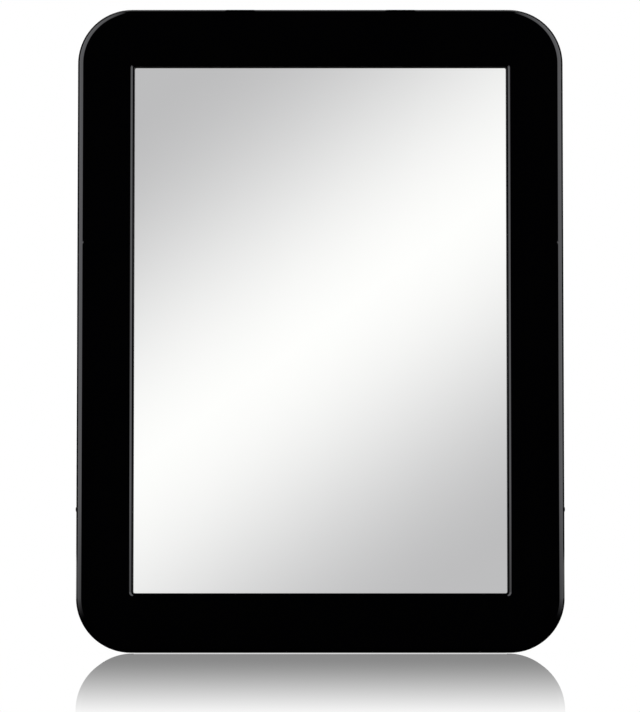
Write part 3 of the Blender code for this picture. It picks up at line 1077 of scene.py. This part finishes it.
glass_faces = (silvered_glass, ground_glass_edge, mirror_back_paint)
mirror_pane = make_pane(*[surface(face) for face in glass_faces])
moulding = make_frame(surface(gloss_black_plastic), surface(drawn_black_plastic))
dress(frame["nodes"]["backing_board"], "board", surface(grey_board))
foam = surface(black_foam)
for side in edges:
    make_foam_strip(side, foam)
cover = make_cover(surface(matt_black_plastic))
nickel = surface(nickel_plate)
adhesive = surface(adhesive_pad)
zinc = surface(zinc_plate)
screw_mesh = make_screw_mesh()
metal_pieces = []
for corner in corners:
    metal_pieces.append(make_magnet(corner, nickel))
    make_pad(corner, adhesive)
    metal_pieces.append(make_screw(corner, screw_mesh, zinc))


# Camera

camera_distance = 1.0
camera_height = -0.0574
camera_side = -0.00011
camera_pitch = math.radians(2.819)
camera_lens = 151.92

camera = bpy.data.objects.new("camera", bpy.data.cameras.new("camera"))
bpy.context.scene.collection.objects.link(camera)
camera.location = (camera_side, -camera_distance, camera_height)
camera.rotation_euler = (quarter_turn + camera_pitch, 0, 0)
camera.data.lens = camera_lens
camera.data.sensor_width = 36
camera.data.clip_start = 0.01
camera.data.clip_end = 60
bpy.context.scene.camera = camera
bpy.context.scene.view_settings.view_transform = "Standard"


# Floor and surroundings

floor_gap = 0.00035
floor_half = 8.0
dome_radius = 6.0
floor_dome_radius = 7.0
metal_dome_radius = 8.0
world_fill = 0.35
floor_z = frame_low.z - floor_gap


def receivers(name, include=(), leave_out=()):
    """A light linking collection: only these pieces get the light, or all but these."""
    collection = bpy.data.collections.new(name)
    pieces = (*include, *leave_out)
    for piece in pieces:
        collection.objects.link(piece)
    for entry, piece in zip(collection.collection_objects, pieces):
        entry.light_linking.link_state = "INCLUDE" if piece in include else "EXCLUDE"
    return collection


def stage_surface(make_shader):
    """A material of the stage, named after the function that makes its shader."""
    material = bpy.data.materials.new(make_shader.__name__)
    material.use_nodes = True
    material.cycles.emission_sampling = "NONE"
    tree = material.node_tree
    tree.nodes.clear()
    output = tree.nodes.new("ShaderNodeOutputMaterial")
    tree.links.new(make_shader(tree), output.inputs["Surface"])
    return material


def white_gloss(tree, shade, factor):
    """A white glow at a given shade, with a mirror over it by a given factor."""
    glow = add_node(tree, "ShaderNodeEmission", Color=(1, 1, 1, 1), Strength=shade)
    gloss = add_node(tree, "ShaderNodeBsdfGlossy", Color=(1, 1, 1, 1), Roughness=0.01)
    ends = {"i1": glow.outputs[0], "i2": gloss.outputs[0]}
    return add_node(tree, "ShaderNodeMixShader", Fac=factor, **ends).outputs[0]


def pale_floor(tree):
    """White gloss that mirrors what stands on it, less and less with the distance from it, over a
    white glow with a painted contact shadow and painted shade under the foot.
    """
    fade_length = 0.292
    fade_gain = 1.02
    # Painted contact shadow: how far it reaches.
    painted_shadow_reach = 0.03
    foot_margin = 0.001
    # Painted shade under the frame's foot: the dimmer glow there.
    painted_foot_shade = 0.72
    # Painted contact shadow: how dark it gets at most.
    darkest_painted_shadow = 0.5
    parts = axes(tree, own_place(tree))
    beside = minus(tree, math_node(tree, "ABSOLUTE", parts["X"]), half_width - corner_radius)
    behind = minus(tree, parts["Y"], (front_y + door_y) / 2)
    behind = minus(tree, math_node(tree, "ABSOLUTE", behind), (door_y - front_y) / 2)
    away = (beside, behind)
    squares = [square(tree, math_node(tree, "MAXIMUM", value, 0.0)) for value in away]
    share = math_node(tree, "DIVIDE", total(tree, *squares), fade_length**2)
    fade = times(tree, minus(tree, 1.0, share), fade_gain)
    fade = spread(tree, fade, 0.0, 1.0, 0.0, 1.0)
    outside = math_node(tree, "GREATER_THAN", math_node(tree, "MAXIMUM", *away), -foot_margin)
    fresnel = add_node(tree, "ShaderNodeFresnel", IOR=1.5).outputs[0]
    factor = times(tree, times(tree, fade, fresnel), outside)
    # Painted contact shadow: an occlusion node darkens the glow near what stands on the floor, less
    # at grazing views.
    occlusion = add_node(tree, "ShaderNodeAmbientOcclusion", {"samples": 8}, Distance=painted_shadow_reach)
    painted_shadow_amount = spread(tree, occlusion.outputs["AO"], 0.0, 1.0, 1 - darkest_painted_shadow, 0.0)
    matt_share = math_node(tree, "POWER", minus(tree, 1.0, fresnel), 2.0)
    painted_contact_shadow = minus(tree, 1.0, times(tree, painted_shadow_amount, matt_share))
    # The glow: painted shade under the foot, and the painted contact shadow elsewhere.
    shade = spread(tree, outside, 0.0, 1.0, painted_foot_shade, painted_contact_shadow)
    return white_gloss(tree, shade, factor)


def make_floor():
    bm = bmesh.new()
    outline = rectangle(-floor_half, floor_half, -floor_half, floor_half)
    bm.faces.new([bm.verts.new((x, y, 0)) for x, y in outline])
    floor = new_piece("floor", bm, (0, 0, floor_z))
    floor.data.materials.append(stage_surface(pale_floor))
    floor.visible_glossy = False
    floor.visible_shadow = False
    return floor


def make_dome(name, radius, make_shader, seen_by):
    """A large sphere that only the reflections of some pieces see."""
    bm = bmesh.new()
    bmesh.ops.create_uvsphere(bm, u_segments=64, v_segments=32, radius=radius)
    dome = new_piece(name, bm)
    dome.data.materials.append(stage_surface(make_shader))
    for ray in ("camera", "diffuse", "transmission", "volume_scatter", "shadow"):
        setattr(dome, f"visible_{ray}", False)
    dome.light_linking.receiver_collection = receivers(f"{name}_sees", include=seen_by)


def glow_through(tree, strength, colour=(1, 1, 1, 1)):
    """A shader that adds light to what passes through it."""
    glow = add_node(tree, "ShaderNodeEmission", Color=colour, Strength=strength).outputs[0]
    clear = add_node(tree, "ShaderNodeBsdfTransparent").outputs[0]
    return add_node(tree, "ShaderNodeAddShader", i0=glow, i1=clear).outputs[0]


def dome_direction(tree):
    """The direction of a dome's point from the middle, as X, Y and Z."""
    settings = {"operation": "NORMALIZE"}
    away = add_node(tree, "ShaderNodeVectorMath", settings, i0=geometry(tree, "Position"))
    return axes(tree, away.outputs[0])


def mirror_backdrop(tree):
    """Soft slanting bands of light, one of which crosses the mirror from the lower left up."""
    band_half = 0.0906
    band_step = 0.104
    slant = 1.337
    darkest = 0.567
    brightest = 1.105
    roundness = 0.75
    bright_tint = (1.0, 1.0, 0.985)
    dark_tint = (1.0, 0.997, 1.008)
    parts = dome_direction(tree)
    azimuth = math_node(tree, "ARCTAN2", parts["X"], times(tree, parts["Y"], -1.0))
    elevation = math_node(tree, "ARCSINE", parts["Z"])
    reach = camera_distance + front_y + dome_radius
    per_radian = dome_radius * (camera_distance + front_y) / reach
    level = -camera_height * dome_radius / reach
    up = minus(tree, times(tree, elevation, per_radian), level)
    slanted = minus(tree, times(tree, azimuth, per_radian), times(tree, up, slant))
    distance = math_node(tree, "DIVIDE", slanted, math.hypot(1, slant))
    folded = math_node(tree, "PINGPONG", distance, band_step)
    angle = spread(tree, folded, 0.0, band_half, 0.0, half_turn)
    round_part = spread(tree, math_node(tree, "COSINE", angle), -1.0, 1.0, 0.0, roundness)
    straight_part = spread(tree, folded, 0.0, band_half, 1 - roundness, 0.0)
    wave = total(tree, round_part, straight_part)
    strength = spread(tree, wave, 0.0, 1.0, darkest, brightest)
    return glow_through(tree, strength, blend(tree, wave, dark_tint, bright_tint))


def floor_backdrop(tree):
    return glow_through(tree, 1.0)


def rear_backdrop(tree):
    """What the metal behind reflects: soft slanting bands, one after the other up the room."""
    brightest = 1.15
    darkest = 0.3
    band_step = 0.2
    band_shift = -0.05
    slant = 0.6
    parts = dome_direction(tree)
    slanted = math_node(tree, "MULTIPLY_ADD", parts["X"], slant, parts["Z"])
    folded = math_node(tree, "PINGPONG", total(tree, slanted, band_shift), band_step)
    return glow_through(tree, spread(tree, folded, 0.0, band_step, brightest, darkest))


def make_world():
    """White to the camera, a weak even fill to everything else, and nothing in reflections."""
    world = bpy.data.worlds.new("studio")
    world.use_nodes = True
    tree = world.node_tree
    tree.nodes.clear()
    path = tree.nodes.new("ShaderNodeLightPath")
    filled = times(tree, path.outputs["Is Diffuse Ray"], world_fill)
    strength = total(tree, path.outputs["Is Camera Ray"], filled)
    background = add_node(tree, "ShaderNodeBackground", Color=(1, 1, 1, 1), Strength=strength)
    output = tree.nodes.new("ShaderNodeOutputWorld")
    tree.links.new(background.outputs[0], output.inputs["Surface"])
    bpy.context.scene.world = world


floor = make_floor()
make_dome("mirror_backdrop_dome", dome_radius, mirror_backdrop, (mirror_pane,))
make_dome("floor_backdrop_dome", floor_dome_radius, floor_backdrop, (floor,))
make_dome("metal_backdrop_dome", metal_dome_radius, rear_backdrop, metal_pieces)
make_world()


# Lights


def shade_light(light, ramps):
    """Fades a light over its face. Each ramp: an axis, where it is dark, where full, a power."""
    light.use_nodes = True
    tree = light.node_tree
    parts = axes(tree, geometry(tree, "Position"))
    strength = 1.0
    for axis, dark, full, power in ramps:
        ramp = spread(tree, parts[axis], dark, full, 0.0, 1.0)
        strength = times(tree, math_node(tree, "POWER", ramp, power), strength)
    tree.links.new(strength, tree.nodes["Emission"].inputs["Strength"])


def softbox(name, low, high, facing, radiance, leave_out, ramps=(), colour=(1, 1, 1)):
    """A flat soft light between two corners of a rectangle, which faces a given way."""
    low, high = Vector(low), Vector(high)
    rotation = Vector(facing).normalized().to_track_quat("-Z", "Y")
    light = bpy.data.lights.new(name, "AREA")
    light.shape = "RECTANGLE"
    light.size = abs((high - low).dot(rotation @ x_axis))
    light.size_y = abs((high - low).dot(rotation @ y_axis))
    light.color = colour
    light.energy = radiance * 4 * light.size * light.size_y
    if ramps:
        shade_light(light, ramps)
    holder = bpy.data.objects.new(name, light)
    bpy.context.scene.collection.objects.link(holder)
    holder.location = (low + high) / 2
    holder.rotation_mode = "QUATERNION"
    holder.rotation_quaternion = rotation
    holder.visible_camera = False
    holder.light_linking.receiver_collection = receivers(f"{name}_lights", leave_out=leave_out)


def light_sides():
    """A tall panel on each side, which draws the light lines on the frame and on its lip."""
    away = 0.6
    near_y = -2.25
    near_full_y = -1.64
    far_y = 0.0
    top_z = 3.3
    top_full_z = 0.6
    bottom_z = -0.34
    bottom_full_z = -0.05
    radiance = 1.8
    colour = (0.985, 0.985, 1.03)
    leave_out = (mirror_pane, floor)
    ramps = [("Y", near_y, near_full_y, 1.0), ("Z", top_z, top_full_z, 1.0)]
    ramps.append(("Z", bottom_z, bottom_full_z, 2.0))
    for side, name in ((-1, "left_panel"), (1, "right_panel")):
        low = (side * away, near_y, bottom_z)
        high = (side * away, far_y, top_z)
        softbox(name, low, high, (-side, 0, 0), radiance, leave_out, ramps, colour)


def light_back():
    """A key light for the back."""
    low = (0.1, 0.75, 0.35)
    high = (0.7, 0.45, 0.75)
    facing = (-0.4, -0.6, -0.5)
    radiance = 7.0
    softbox("rear_key", low, high, facing, radiance, (mirror_pane, floor, moulding))


def light_top():
    """A soft light overhead, for the top edge."""
    half_x = 0.6
    full_x = 0.2
    dark_y = -0.1
    full_y = 1.0
    height = 1.2
    radiance = 1.0
    leave_out = (mirror_pane, floor, cover, *metal_pieces)
    ramps = (("Y", dark_y, full_y, 1.0), ("X", -half_x, -full_x, 1.0), ("X", half_x, full_x, 1.0))
    low = (-half_x, dark_y, height)
    high = (half_x, full_y, height)
    softbox("overhead", low, high, (0, 0, -1), radiance, leave_out, ramps)


def light_floor():
    """The glow of the pale floor behind, as the frame's gloss shows it."""
    near_x = 0.16
    full_x = 0.6
    near_y = 0.05
    full_y = 0.4
    far = 1.6
    height = floor_z - 0.001
    radiance = 0.8
    leave_out = (mirror_pane, floor, *metal_pieces)
    for side, name in ((-1, "left_floor_bounce"), (1, "right_floor_bounce")):
        low = (side * near_x, near_y, height)
        high = (side * far, far, height)
        ramps = (("X", side * near_x, side * full_x, 1.0), ("Y", near_y, full_y, 1.0))
        softbox(name, low, high, (0, 0, 1), radiance, leave_out, ramps)


light_sides()
light_back()
light_top()
light_floor()
